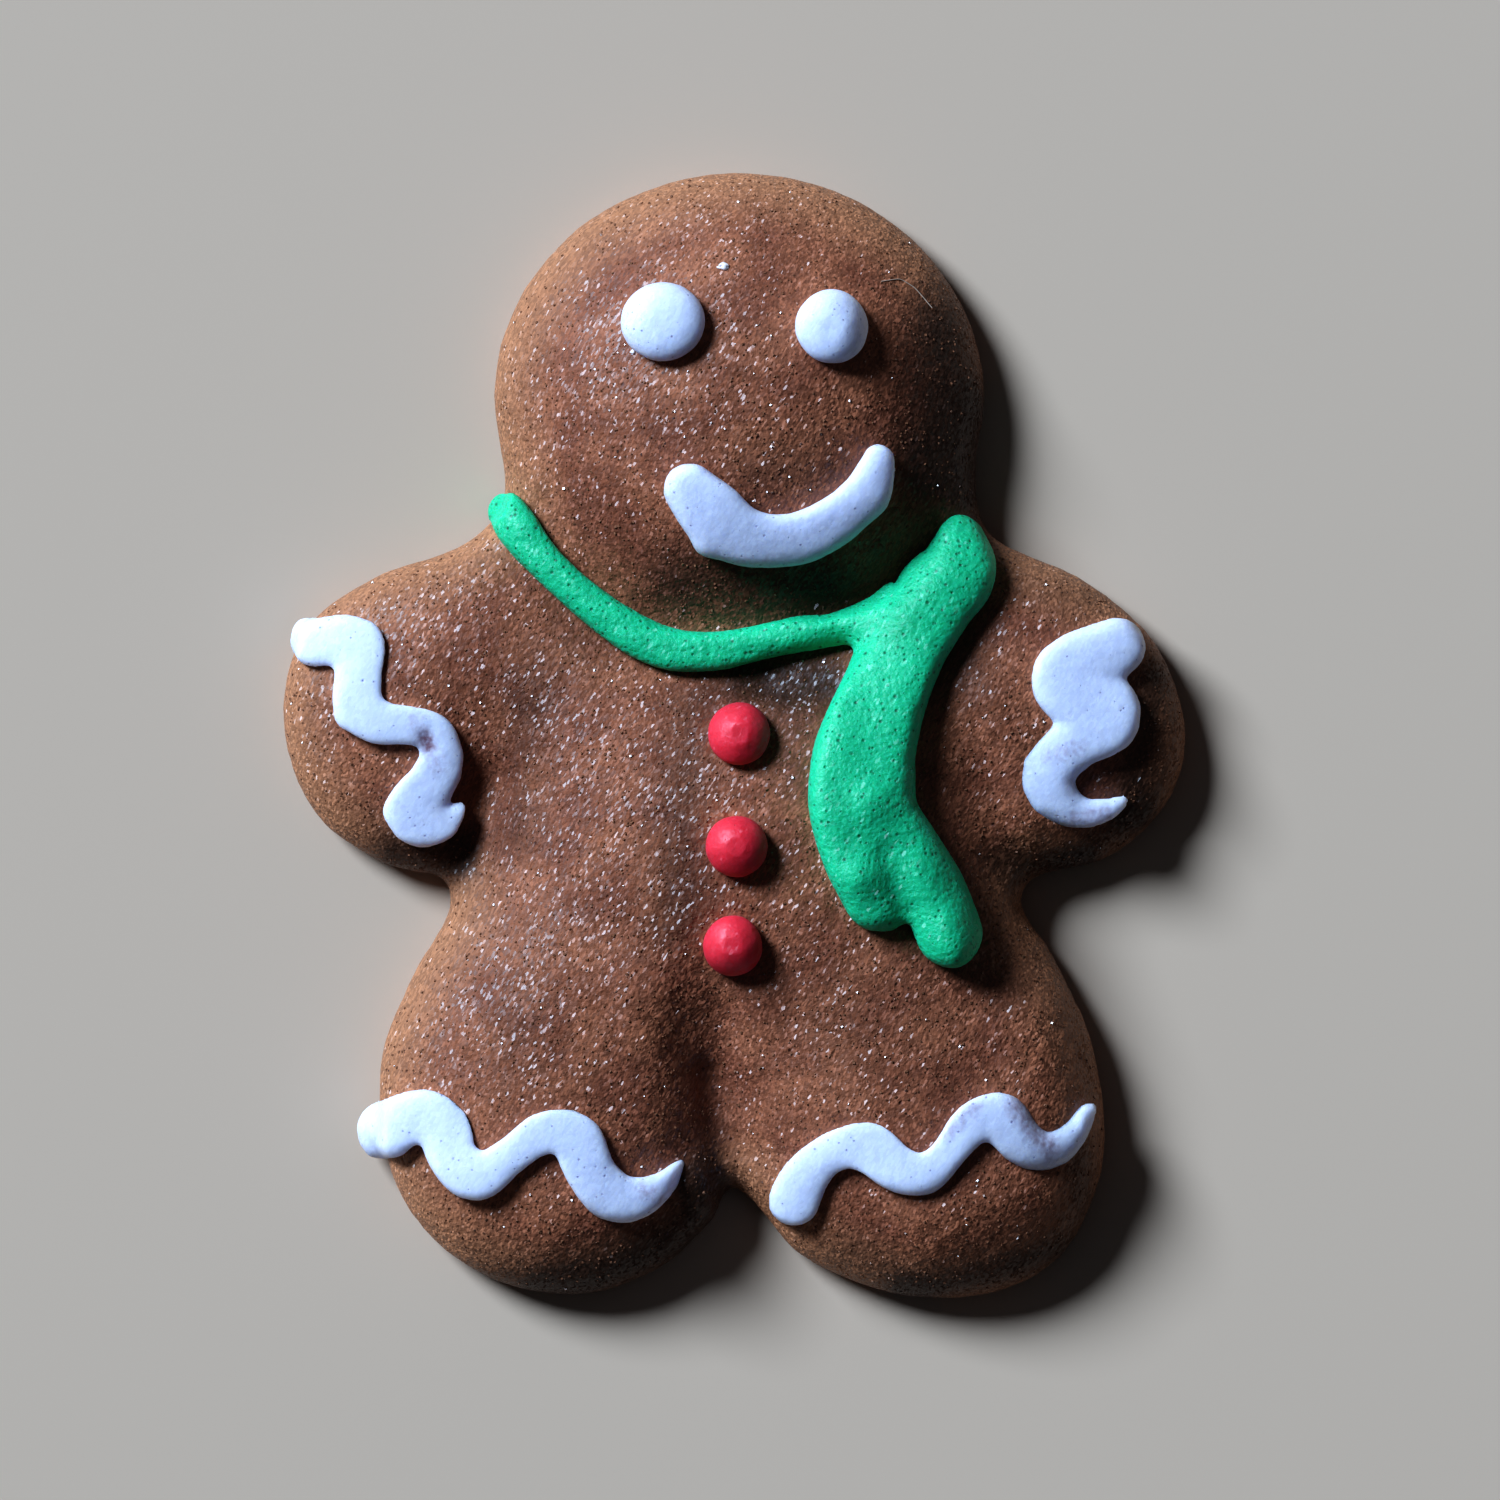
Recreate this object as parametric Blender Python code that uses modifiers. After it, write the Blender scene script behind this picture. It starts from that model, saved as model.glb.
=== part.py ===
"""A small gingerbread man biscuit with piped royal icing, lying on its back and face up.

Lengths in the tables below are millimetres, and the model is made in metres, with +Z up.
The head points along +Y. The origin is on the ground, under the middle of the biscuit.

The biscuit puffed as it baked, so its top is worked out as a skin that is blown up from
below: it is held at the outline and drawn down along four creases, at the neck, under
both arms and between the legs. Each piped piece is modelled on flat ground, as a round
bead along its stroke, and is then draped over that top.
"""

import math

import bmesh
import bpy
import numpy as np
from mathutils import Vector
from mathutils.bvhtree import BVHTree
from mathutils.geometry import delaunay_2d_cdt, interpolate_bezier

MM = 0.001

# The head's outline is an ellipse, left open at the neck, with a knot each HEAD_STEP degrees.
HEAD_CENTRE = (0.2, 13.35)
HEAD_RADII = (9.85, 9.17)
HEAD_OPENING = (-15, 195)
HEAD_STEP = 15

# The rest of the outline, anticlockwise from the left side of the neck, as (x, y).
LEFT_ARM = (
    (-9.3, 9.2),  # neck
    (-10.9, 7.6),  # shoulder
    (-14.4, 6.3),
    (-17.15, 4.3),
    (-18.1, 0.7),  # end of the arm
    (-16.8, -3.2),
    (-13.8, -5.3),
)
LEFT_LEG = (
    (-11.35, -6.15),  # armpit
    (-13.0, -9.8),  # hip
    (-14.2, -13.2),
    (-13.5, -18.2),
    (-10.6, -21.4),
    (-6.4, -22.5),  # bottom of the foot
    (-2.6, -21.2),
    (-0.8, -19.2),
)
RIGHT_LEG = (
    (0.0, -18.0),  # crotch
    (0.9, -18.9),
    (3.0, -21.1),
    (7.6, -22.6),  # bottom of the foot
    (12.4, -21.5),
    (14.7, -17.8),
    (14.5, -12.9),
    (12.85, -8.9),  # hip
)
RIGHT_ARM = (
    (11.6, -6.2),  # armpit
    (14.8, -5.1),
    (17.3, -2.9),
    (18.1, 0.2),  # end of the arm
    (16.9, 3.6),
    (14.0, 6.2),
    (11.1, 7.5),  # shoulder
    (10.0, 8.4),  # neck
)

# The section through the edge: the foot is drawn in, and the wall is widest at the rim.
FOOT_INSET = 0.55
FOOT_BULGE = (0.14, 0.4)  # inset and height of the middle of the wall
RIM_HEIGHT = 0.95
SHOULDER = 1.0  # radius of the rounding from the wall to the top

# The puffed top: how high it would rise well inside, and over what distance from the edge.
PUFF = 5.2
PUFF_REACH = 4.3

# Creases, as the points that each runs through, how hard it pulls at each end and its width.
NECK_CREASE = (((-9.6, 8.9), (-5.6, 4.9), (-0.6, 3.5), (4.6, 4.6), (10.0, 8.3)), (0.9, 0.9), 1.1)
LEFT_ARM_CREASE = ((LEFT_LEG[0], (-10.2, -2.6), (-9.4, 1.4)), (1.6, 0.1), 1.5)
RIGHT_ARM_CREASE = ((RIGHT_ARM[0], (10.7, -1.8), (10.0, 2.0)), (1.2, 0.0), 1.3)
LEG_CREASE = ((RIGHT_LEG[0], (-0.7, -13.6), (-0.8, -9.2)), (2.0, 0.0), 1.0)
CREASES = (NECK_CREASE, LEFT_ARM_CREASE, RIGHT_ARM_CREASE, LEG_CREASE)

# Where the dough puffed more, as the middle, the reach and the extra share of the rise.
LOBES = ((HEAD_CENTRE, 7.0, 0.45),)

# The biscuit's mesh: spacing of the outline's points and of the rings and grid inside it.
OUTLINE_STEP = 0.85
RING_INSETS = (0.12, 0.4, 0.85, 1.5)
GRID_STEP = 1.15

# Icing. Each dot is (x, y), (half width, half depth in y), height.
ICING_GAP = 0.1  # between the underside of each piece and the biscuit
DOTS = {
    "eye_left": ((-2.85, 16.45), (1.68, 1.58), 1.35),
    "eye_right": ((3.9, 16.25), (1.48, 1.52), 1.3),
    "button_top": ((0.2, 0.0), (1.3, 1.32), 1.25),
    "button_middle": ((0.1, -4.5), (1.3, 1.28), 1.2),
    "button_bottom": ((-0.05, -8.45), (1.24, 1.27), 1.2),
}
DOT_SEGMENTS = 16
DOT_RINGS = 10

# Piped strokes, as (x, y, half width) where the line turns.
SMILE = (
    (-1.75, 9.8, 1.05),
    (-0.95, 8.8, 1.3),
    (0.15, 7.95, 1.25),
    (1.4, 7.7, 1.1),
    (2.8, 7.85, 1.08),
    (4.2, 8.6, 1.02),
    (5.25, 9.7, 0.9),
    (5.7, 11.0, 0.6),
)
SCARF_BAND = (
    (-9.1, 8.9, 0.85),
    (-8.75, 8.35, 0.92),
    (-7.65, 6.95, 0.77),
    (-6.15, 5.55, 0.77),
    (-4.5, 4.3, 0.86),
    (-2.7, 3.4, 0.9),
    (-0.8, 3.3, 0.82),
    (1.05, 3.65, 0.75),
    (2.85, 4.05, 0.79),
    (4.5, 4.45, 0.9),
    (5.8, 4.95, 1.0),
)
SCARF_TAIL = (
    (9.0, 7.7, 1.15),
    (9.15, 6.5, 1.42),
    (8.2, 5.35, 1.55),
    (6.9, 3.65, 1.75),
    (5.9, 1.4, 1.83),
    (5.25, -0.65, 2.08),
    (5.1, -2.1, 2.2),
    (5.1, -3.3, 2.1),
    (5.4, -5.0, 1.85),
    (5.8, -6.4, 1.55),
)
SCARF_STRAND = (
    (6.25, -3.25, 1.2),
    (7.05, -4.7, 1.3),
    (7.95, -6.25, 1.37),
    (8.6, -8.0, 1.4),
)
LEFT_ARM_TRIM = (
    (-16.8, 3.65, 1.02),
    (-15.0, 3.7, 1.0),
    (-15.0, 2.45, 0.98),
    (-15.05, 1.15, 1.03),
    (-14.25, 0.45, 0.92),
    (-13.2, 0.4, 0.83),
    (-11.95, 0.05, 0.8),
    (-11.7, -0.95, 0.87),
    (-12.1, -1.85, 0.92),
    (-12.85, -3.25, 1.15),
    (-11.7, -3.6, 0.8),
    (-10.8, -2.9, 0.22),
)
RIGHT_ARM_TRIM = (
    (15.3, 3.5, 1.25),
    (13.05, 2.15, 1.28),
    (15.0, 0.8, 1.38),
    (13.6, -0.4, 1.1),
    (12.55, -1.4, 1.2),
    (12.8, -2.5, 1.05),
    (13.9, -3.15, 0.68),
    (15.0, -3.0, 0.5),
    (15.6, -2.65, 0.3),
)
LEFT_LEG_TRIM = (
    (-14.05, -15.8, 1.14),
    (-12.55, -15.25, 1.12),
    (-11.6, -15.75, 1.12),
    (-11.3, -16.9, 1.02),
    (-10.3, -17.7, 1.03),
    (-9.05, -16.95, 0.8),
    (-7.6, -15.95, 0.9),
    (-6.3, -16.15, 1.08),
    (-5.75, -17.5, 1.05),
    (-4.55, -18.6, 1.05),
    (-3.05, -18.2, 0.68),
    (-2.05, -17.15, 0.28),
)
RIGHT_LEG_TRIM = (
    (2.4, -18.65, 1.1),
    (2.85, -17.65, 0.98),
    (3.95, -16.7, 0.84),
    (5.35, -16.5, 1.05),
    (6.5, -17.35, 0.98),
    (7.7, -17.55, 0.88),
    (8.65, -16.6, 0.75),
    (9.55, -15.55, 0.9),
    (10.65, -15.3, 1.05),
    (11.5, -16.3, 1.0),
    (12.55, -16.65, 0.88),
    (13.6, -15.85, 0.66),
    (14.2, -15.0, 0.42),
)
# The strokes of each piece, and how high they stand for their half width.
PIPED = {
    "smile": ((SMILE,), 0.95),
    "scarf": ((SCARF_BAND, SCARF_TAIL, SCARF_STRAND), 0.75),
    "arm_trim_left": ((LEFT_ARM_TRIM,), 0.9),
    "arm_trim_right": ((RIGHT_ARM_TRIM,), 0.8),
    "leg_trim_left": ((LEFT_LEG_TRIM,), 0.9),
    "leg_trim_right": ((RIGHT_LEG_TRIM,), 0.8),
}
PATH_STEP = 0.25
CAP_STEPS = 4
BEAD_SIDES = 6  # bevel resolution of the round bead
BEAD_SEAT = 0.3  # share of the half width that the bead's middle stands above the biscuit
BEAD_VOXEL = 0.16
TRIANGLES_PER_MM2 = 6.5

# Colours are linear (red, green, blue).
FINISHES = {
    "gingerbread": ((0.15, 0.055, 0.024), 0.75),
    "white icing": ((0.80, 0.84, 0.88), 0.45),
    "red icing": ((0.68, 0.03, 0.04), 0.4),
    "green icing": ((0.02, 0.45, 0.16), 0.5),
}


def clear_scene():
    for obj in list(bpy.data.objects):
        bpy.data.objects.remove(obj, do_unlink=True)


def make_collection(name):
    collection = bpy.data.collections.new(name)
    bpy.context.scene.collection.children.link(collection)
    return collection


def make_material(name, finish):
    """A Principled material for one piece, in one of the FINISHES."""
    colour, roughness = FINISHES[finish]
    material = bpy.data.materials.new(name)
    material.use_nodes = True
    shader = material.node_tree.nodes["Principled BSDF"]
    shader.inputs["Base Color"].default_value = (*colour, 1.0)
    shader.inputs["Roughness"].default_value = roughness
    material.diffuse_color = (*colour, 1.0)
    return material


def make_object(name, mesh, finish, collection):
    mesh.name = name
    mesh.materials.clear()
    mesh.materials.append(make_material(name, finish))
    mesh.shade_smooth()
    obj = bpy.data.objects.new(name, mesh)
    collection.objects.link(obj)
    return obj


def curve_through(knots, step, closed=False):
    """Points about step apart on a smooth curve through the knots, as an array of rows."""
    knots = [Vector((*knot, 0.0)[:3]) for knot in knots]
    count = len(knots)
    last = count if closed else count - 1
    tangents = []
    for i in range(count):
        if closed:
            before, after = knots[i - 1], knots[(i + 1) % count]
        else:
            before, after = knots[max(i - 1, 0)], knots[min(i + 1, count - 1)]
        tangents.append((after - before).normalized())
    points = []
    for i in range(last):
        start, end = knots[i], knots[(i + 1) % count]
        reach = (end - start).length / 3
        steps = max(2, round((end - start).xy.length / step) + 1)
        handles = (start + tangents[i] * reach, end - tangents[(i + 1) % count] * reach)
        points += interpolate_bezier(start, *handles, end, steps)[:-1]
    if not closed:
        points.append(knots[-1])
    return np.array(points)


def biscuit_outline():
    """The closed outline at the rim, anticlockwise, in millimetres."""
    head = []
    for degrees in range(HEAD_OPENING[0], HEAD_OPENING[1] + 1, HEAD_STEP):
        angle = math.radians(degrees)
        x = HEAD_CENTRE[0] + HEAD_RADII[0] * math.cos(angle)
        y = HEAD_CENTRE[1] + HEAD_RADII[1] * math.sin(angle)
        head.append((x, y))
    knots = (*head, *LEFT_ARM, *LEFT_LEG, *RIGHT_LEG, *RIGHT_ARM)
    return curve_through(knots, OUTLINE_STEP, closed=True)[:, :2]


def inward_normals(outline):
    along = np.roll(outline, -1, axis=0) - np.roll(outline, 1, axis=0)
    normals = np.stack([-along[:, 1], along[:, 0]], axis=1)
    return normals / np.linalg.norm(normals, axis=1, keepdims=True)


def distance_to_line(points, line):
    """Distance from each point to the polyline, and how far along it the nearest spot is, 0 to 1."""
    starts, ends = line[:-1], line[1:]
    sides = ends - starts
    lengths = np.linalg.norm(sides, axis=1)
    offsets = points[:, None] - starts
    shares = np.clip((offsets * sides).sum(axis=2) / lengths**2, 0.0, 1.0)
    gaps = np.linalg.norm(offsets - shares[..., None] * sides, axis=2)
    nearest = gaps.argmin(axis=1)
    rows = np.arange(len(points))
    run = np.concatenate([[0.0], np.cumsum(lengths)])
    along = (run[nearest] + shares[rows, nearest] * lengths[nearest]) / run[-1]
    return gaps[rows, nearest], along


def is_inside(points, outline):
    """Whether each point lies inside the outline, by counting crossings of a ray along +X."""
    x, y = points[:, 0, None], points[:, 1, None]
    ax, ay = outline.T
    bx, by = np.roll(outline, -1, axis=0).T
    spans = (ay > y) != (by > y)
    rise = np.where(by == ay, 1.0, by - ay)
    crossings = spans & (x < ax + (y - ay) * (bx - ax) / rise)
    return crossings.sum(axis=1) % 2 == 1


def top_points(outline):
    """The points of the top: the outline, rings just inside it, and an even grid further in."""
    closed = np.vstack([outline, outline[:1]])
    normals = inward_normals(outline)
    kept = [outline]
    for inset in RING_INSETS:
        ring = outline + normals * inset
        near, _ = distance_to_line(ring, closed)
        kept.append(ring[near > 0.9 * inset])
    low, high = outline.min(axis=0), outline.max(axis=0)
    row_step = GRID_STEP * math.sqrt(3) / 2
    grid = []
    for row, y in enumerate(np.arange(low[1], high[1], row_step)):
        shift = GRID_STEP / 2 * (row % 2)
        grid += [(x + shift, y) for x in np.arange(low[0], high[0], GRID_STEP)]
    grid = np.array(grid)
    near, _ = distance_to_line(grid, closed)
    clear = RING_INSETS[-1] + GRID_STEP / 2
    kept.append(grid[is_inside(grid, outline) & (near > clear)])
    return np.vstack(kept)


def crease_pull(points):
    """How hard the creases draw the skin down at each point."""
    pull = np.zeros(len(points))
    for knots, (first, last), width in CREASES:
        line = curve_through(knots, OUTLINE_STEP)[:, :2]
        gap, along = distance_to_line(points, line)
        strength = first + (last - first) * along
        pull += strength * np.exp(-((gap / width) ** 2))
    return pull


def skin_rise(points, triangles, edge_count):
    """How far the blown-up skin rises at each point, from 0 at the outline towards 1 inside.

    The skin pulls level with its stiffness (the cotangent weights of the triangles), is
    pushed up towards its target everywhere and is pulled back to 0 along the creases.
    """
    count = len(points)
    stiffness = np.zeros((count, count))
    area = np.zeros(count)
    corners = points[triangles]
    for k in range(3):
        a, b = triangles[:, (k + 1) % 3], triangles[:, (k + 2) % 3]
        u = corners[:, (k + 1) % 3] - corners[:, k]
        v = corners[:, (k + 2) % 3] - corners[:, k]
        cross = u[:, 0] * v[:, 1] - u[:, 1] * v[:, 0]
        weight = 0.5 * (u * v).sum(axis=1) / cross
        np.add.at(stiffness, (a, b), -weight)
        np.add.at(stiffness, (b, a), -weight)
        np.add.at(stiffness, (a, a), weight)
        np.add.at(stiffness, (b, b), weight)
        np.add.at(area, triangles[:, k], cross / 6)
    push = area / PUFF_REACH**2
    pull = area * crease_pull(points)
    target = np.ones(count)
    for centre, reach, extra in LOBES:
        target += extra * np.exp(-(((points - centre) / reach) ** 2).sum(axis=1))
    system = stiffness + np.diag(push + pull)
    inner = slice(edge_count, None)
    rise = np.zeros(count)
    rise[inner] = np.linalg.solve(system[inner, inner], (push * target)[inner])
    return rise


def make_biscuit(collection):
    """The baked biscuit: a puffed top over a rounded edge and a flat underside."""
    outline = biscuit_outline()
    count = len(outline)
    points = top_points(outline)
    edges = [(i, (i + 1) % count) for i in range(count)]
    flat = [Vector(point) for point in points]
    filled = delaunay_2d_cdt(flat, edges, [], 1, 1e-6)
    triangles = np.array(filled[2])
    rise = skin_rise(points, triangles, count)
    near, _ = distance_to_line(points, np.vstack([outline, outline[:1]]))
    shoulder = SHOULDER * np.sqrt(1 - (1 - np.minimum(near / SHOULDER, 1)) ** 2)
    heights = RIM_HEIGHT + shoulder + PUFF * rise
    shape = bmesh.new()
    top = [shape.verts.new(Vector((*point, z)) * MM) for point, z in zip(points, heights)]
    for triangle in triangles:
        shape.faces.new([top[i] for i in triangle])
    normals = inward_normals(outline)
    above = top[:count]
    for inset, z in (FOOT_BULGE, (FOOT_INSET, 0.0)):
        ring = outline + normals * inset
        below = [shape.verts.new(Vector((*point, z)) * MM) for point in ring]
        for i, j in edges:
            shape.faces.new((above[j], above[i], below[i], below[j]))
        above = below
    shape.faces.new(above[::-1])
    bmesh.ops.recalc_face_normals(shape, faces=shape.faces)
    mesh = bpy.data.meshes.new("biscuit")
    shape.to_mesh(mesh)
    shape.free()
    return make_object("biscuit", mesh, "gingerbread", collection)


def surface_tree(obj):
    shape = bmesh.new()
    shape.from_mesh(obj.data)
    tree = BVHTree.FromBMesh(shape)
    shape.free()
    return tree


def drape(mesh, surface):
    """Raises each vertex of a piece made on flat ground by the height of the biscuit under it."""
    above = 100 * MM
    for vertex in mesh.vertices:
        x, y, z = vertex.co
        hit = surface.ray_cast(Vector((x, y, above)), Vector((0, 0, -1)))[0]
        if hit is None or hit.z < RIM_HEIGHT * MM:
            hit = Vector((x, y, RIM_HEIGHT * MM))
        vertex.co.z = z + hit.z + ICING_GAP * MM


def make_dot(name, centre, radii, height, finish, surface, collection):
    """A dot of icing: a squashed ball whose lower half is flattened on the biscuit."""
    shape = bmesh.new()
    bmesh.ops.create_uvsphere(shape, u_segments=DOT_SEGMENTS, v_segments=DOT_RINGS, radius=1.0)
    ball = height / (1 + BEAD_SEAT)
    for vertex in shape.verts:
        x, y, z = vertex.co
        z = max(z, -BEAD_SEAT) + BEAD_SEAT
        vertex.co = Vector((centre[0] + radii[0] * x, centre[1] + radii[1] * y, ball * z)) * MM
    mesh = bpy.data.meshes.new(name)
    shape.to_mesh(mesh)
    shape.free()
    drape(mesh, surface)
    return make_object(name, mesh, finish, collection)


def stroke_stations(knots):
    """The stroke's stations (x, y, half width), with round ends."""
    stations = curve_through(knots, PATH_STEP)
    ends = []
    for end, inner in ((stations[0], stations[1]), (stations[-1], stations[-2])):
        outward = (end - inner)[:2] / np.linalg.norm((end - inner)[:2])
        cap = []
        for k in range(1, CAP_STEPS + 1):
            angle = math.pi / 2 * k / (CAP_STEPS + 0.3)
            place = end[:2] + outward * end[2] * math.sin(angle)
            cap.append((*place, end[2] * math.cos(angle)))
        ends.append(cap)
    return np.vstack([ends[0][::-1], stations, ends[1]])


def add_stroke(curve, knots):
    stations = stroke_stations(knots)
    spline = curve.splines.new("POLY")
    spline.points.add(len(stations) - 1)
    for point, (x, y, half_width) in zip(spline.points, stations):
        point.co = (x * MM, y * MM, 0.0, 1.0)
        point.radius = half_width


def evaluated_mesh(obj):
    graph = bpy.context.evaluated_depsgraph_get()
    return bpy.data.meshes.new_from_object(obj.evaluated_get(graph))


def beads_of(name, strokes, collection):
    """The round beads along the strokes, fused into one skin, as a mesh on flat ground."""
    curve = bpy.data.curves.new(name, "CURVE")
    curve.dimensions = "3D"
    curve.bevel_depth = MM
    curve.bevel_resolution = BEAD_SIDES
    curve.use_fill_caps = True
    for stroke in strokes:
        add_stroke(curve, stroke)
    guide = bpy.data.objects.new(name + "_guide", curve)
    collection.objects.link(guide)
    tube = bpy.data.objects.new(name + "_tube", evaluated_mesh(guide))
    collection.objects.link(tube)
    fuse = tube.modifiers.new("fuse", "REMESH")
    fuse.mode = "VOXEL"
    fuse.voxel_size = BEAD_VOXEL * MM
    soften = tube.modifiers.new("soften", "SMOOTH")
    soften.factor = 0.5
    soften.iterations = 4
    mesh = evaluated_mesh(tube)
    bpy.data.objects.remove(tube)
    bpy.data.objects.remove(guide)
    return mesh


def make_piping(name, strokes, fullness, finish, surface, collection):
    """A piped piece: its beads, flattened underneath, draped over the biscuit and thinned out."""
    mesh = beads_of(name, strokes, collection)
    seat = BEAD_SEAT * min(knot[2] for stroke in strokes for knot in stroke) * MM
    for vertex in mesh.vertices:
        vertex.co.z = fullness * (max(vertex.co.z, -seat) + seat)
    area = sum(face.area for face in mesh.polygons) / MM**2
    drape(mesh, surface)
    obj = make_object(name, mesh, finish, collection)
    thin = obj.modifiers.new("thin out", "DECIMATE")
    thin.ratio = TRIANGLES_PER_MM2 * area / (2 * len(mesh.polygons))
    thin.use_collapse_triangulate = True
    return obj


def finish_of(name):
    if name.startswith("button"):
        return "red icing"
    return "green icing" if name == "scarf" else "white icing"


def main():
    clear_scene()
    collection = make_collection("gingerbread_man")
    biscuit = make_biscuit(collection)
    surface = surface_tree(biscuit)
    for name, (centre, radii, height) in DOTS.items():
        make_dot(name, centre, radii, height, finish_of(name), surface, collection)
    for name, (strokes, fullness) in PIPED.items():
        make_piping(name, strokes, fullness, finish_of(name), surface, collection)


main()
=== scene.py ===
"""The looks of a small iced gingerbread man biscuit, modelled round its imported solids.

The biscuit lies on its back on the ground, face up, with its head along +Y. Lengths are
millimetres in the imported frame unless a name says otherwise, and MM turns them into metres.
Each CAD solid is replaced by a finer mesh of the same shape, worked out from the solid
itself: the baked crust with its relief, and each piped piece of royal icing. Sugar grains,
three specks of icing and a fibre lie on the crust.
"""

import logging
import math
from dataclasses import dataclass, field, replace
from enum import Enum
from typing import Iterable, Protocol

import bmesh
import bpy
import numpy as np
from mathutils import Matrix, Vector, noise
from mathutils.bvhtree import BVHTree
from mathutils.kdtree import KDTree


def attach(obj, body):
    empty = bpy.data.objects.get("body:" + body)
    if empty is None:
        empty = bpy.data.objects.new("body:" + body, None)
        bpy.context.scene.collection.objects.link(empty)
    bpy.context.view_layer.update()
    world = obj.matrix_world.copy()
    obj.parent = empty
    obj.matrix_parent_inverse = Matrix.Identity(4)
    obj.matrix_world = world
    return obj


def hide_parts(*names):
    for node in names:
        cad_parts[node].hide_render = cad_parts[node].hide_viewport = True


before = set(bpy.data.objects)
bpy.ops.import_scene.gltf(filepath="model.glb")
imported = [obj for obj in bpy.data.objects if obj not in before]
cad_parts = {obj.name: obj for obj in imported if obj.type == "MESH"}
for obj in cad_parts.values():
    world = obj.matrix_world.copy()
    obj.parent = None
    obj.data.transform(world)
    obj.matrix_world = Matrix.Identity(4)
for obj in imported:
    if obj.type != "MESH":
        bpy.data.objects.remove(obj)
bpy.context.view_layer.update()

MM = 0.001
BODY = "root"
THIN_AND_SHADE = "thin_and_shade"  # mesh attribute: 1 where the biscuit shows through the icing; on the scarf, painted shade and mottle
INLAND = "inland"  # mesh attribute: millimetres from the biscuit's outline
PAINTED_SHADE = "painted_shade"  # mesh attribute: how much painted shade darkens the crust
RAY_TOP = 20.0  # height, above every piece, that a ray down on the crust starts from
FACES_UP = (0.1, 0.7)  # a normal's Z from which a face begins to be the top, and is it fully
FACES_OUT = (-0.1, 0.2)  # the same for whatever isn't the underside
FACES_DOWN = (0.2, 0.8)  # the same for the underside, with Z the other way round
log = logging.getLogger("gingerbread")

Array = np.ndarray


# Colours, shader nodes and finishes


def linear(hex_code: str) -> tuple[float, float, float, float]:
    """Turns an sRGB colour into Blender's linear one.

    Args:
        hex_code: Six hex digits, red first, such as "b5835a".

    Returns:
        Red, green, blue and an alpha of 1.
    """
    shades = [int(hex_code[i : i + 2], 16) / 255 for i in (0, 2, 4)]
    turned = [s / 12.92 if s <= 0.04045 else ((s + 0.055) / 1.055) ** 2.4 for s in shades]
    return (*turned, 1.0)


def per_mm(size: float) -> float:
    """The texture scale that makes one blob or cell about this many millimetres across."""
    return 1 / (size * MM)


def add_node(
    tree: bpy.types.NodeTree, kind: str, inputs: dict | None = None, **settings: object
) -> bpy.types.NodeOutputs:
    """Adds a node with its settings and its links.

    Args:
        tree: The node tree that gets it.
        kind: The shader node's type, such as "TexNoise".
        inputs: For each input's name or number, a value or the output socket to link.
        settings: The node's own properties, by name.

    Returns:
        The new node's outputs.
    """
    node = tree.nodes.new("ShaderNode" + kind)
    for name, value in settings.items():
        setattr(node, name, value)
    for key, value in (inputs or {}).items():
        if isinstance(value, bpy.types.NodeSocket):
            tree.links.new(value, node.inputs[key])
        else:
            node.inputs[key].default_value = value
    return node.outputs


class Finish(Protocol):
    """Anything that can make the material of a piece."""

    def make(self) -> bpy.types.Material:
        """Makes the material."""


def start_material(name: str) -> tuple[bpy.types.Material, bpy.types.NodeTree, bpy.types.Node]:
    """Makes a material that holds one Principled shader.

    Args:
        name: The material's name.

    Returns:
        The material, its node tree and the shader.
    """
    material = bpy.data.materials.new(name)
    material.use_nodes = True
    tree = material.node_tree
    return material, tree, tree.nodes["Principled BSDF"]


@dataclass(frozen=True)
class Pores:
    """Round pits of mixed size that the shader draws, where small bubbles burst."""

    spacing: float
    radius: float  # of the largest pit

    def draw(self, tree: bpy.types.NodeTree, place: bpy.types.NodeSocket) -> bpy.types.NodeSocket:
        """Draws the pits.

        Args:
            tree: The material's node tree.
            place: The socket that gives the place.

        Returns:
            A socket that is 0 on the skin and rises to 1 inside the pits.
        """
        cells = add_node(tree, "TexVoronoi", {"Vector": place, "Scale": per_mm(self.spacing)})
        reach = 1.4 * self.radius / self.spacing
        edge = add_node(tree, "Math", {0: cells["Color"], 1: reach}, operation="MULTIPLY")[0]
        return add_node(tree, "MapRange", {0: cells["Distance"], 1: edge, 2: 0.0})[0]


def relief(
    tree: bpy.types.NodeTree, layers: tuple[tuple[bpy.types.NodeSocket, float], ...]
) -> bpy.types.NodeSocket:
    """Adds up layers of relief that the shader draws.

    Args:
        tree: The material's node tree.
        layers: Each layer's socket and its height in millimetres.

    Returns:
        The socket of the bumped normal.
    """
    total = 0.0
    for layer, height in layers:
        inputs = {0: layer, 1: height, 2: total}
        total = add_node(tree, "Math", inputs, operation="MULTIPLY_ADD")[0]
    return add_node(tree, "Bump", {"Height": total, "Distance": MM})["Normal"]


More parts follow.
